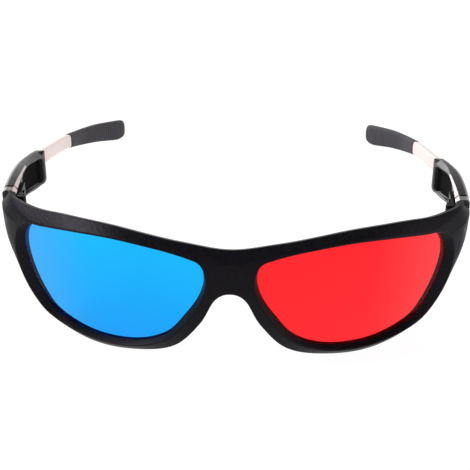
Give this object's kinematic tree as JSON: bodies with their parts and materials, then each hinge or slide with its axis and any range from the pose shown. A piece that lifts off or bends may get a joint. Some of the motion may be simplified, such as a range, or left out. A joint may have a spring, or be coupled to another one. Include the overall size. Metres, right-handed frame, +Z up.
{
  "type": "3d glasses",
  "caption": "Wrap-around viewing glasses with a blue and a red lens in a black front, and temples with rubber tips that fold on riveted hinges.",
  "frame": {"origin": "on the table, under the middle of the open glasses' bounding box", "axes": "+X to the wearer's left, +Y to the back of the head, +Z up; the front faces -Y"},
  "size_m": [0.146, 0.1476, 0.044],
  "materials": {
    "frame_plastic": "satin black, finely grained",
    "temple_plastic": "satin black",
    "bar_lacquer": "pale pearl lacquer",
    "tip_rubber": "matte dark grey with fine cross ribs",
    "lens_blue": "clear tinted, polished",
    "lens_red": "clear tinted, polished",
    "hinge_steel": "dark plated",
    "fastener_steel": "blackened"
  },
  "bodies": {
    "front": {"front_frame": "frame_plastic", "lens_blue": "lens_blue", "lens_red": "lens_red", "end_leaf_left": "hinge_steel", "end_leaf_right": "hinge_steel", "hinge_screw_left": "fastener_steel", "hinge_screw_right": "fastener_steel", "end_rivet_left": "fastener_steel", "end_rivet_right": "fastener_steel"},
    "arm_left": {"temple_shoulder_left": "temple_plastic", "temple_bar_left": "bar_lacquer", "temple_tip_left": "tip_rubber", "temple_leaf_left": "hinge_steel", "temple_rivet_left": "fastener_steel"},
    "arm_right": {"temple_shoulder_right": "temple_plastic", "temple_bar_right": "bar_lacquer", "temple_tip_right": "tip_rubber", "temple_leaf_right": "hinge_steel", "temple_rivet_right": "fastener_steel"}
  },
  "joints": [
    {"name": "fold_left", "type": "hinge", "parent": "front", "child": "arm_left", "pos_m": [0.067, -0.03689, 0.0346], "axis": [0, 0, 1], "range_deg": [0, 88]},
    {"name": "fold_right", "type": "hinge", "parent": "front", "child": "arm_right", "pos_m": [-0.067, -0.03689, 0.0346], "axis": [0, 0, -1], "range_deg": [0, 82]}
  ]
}
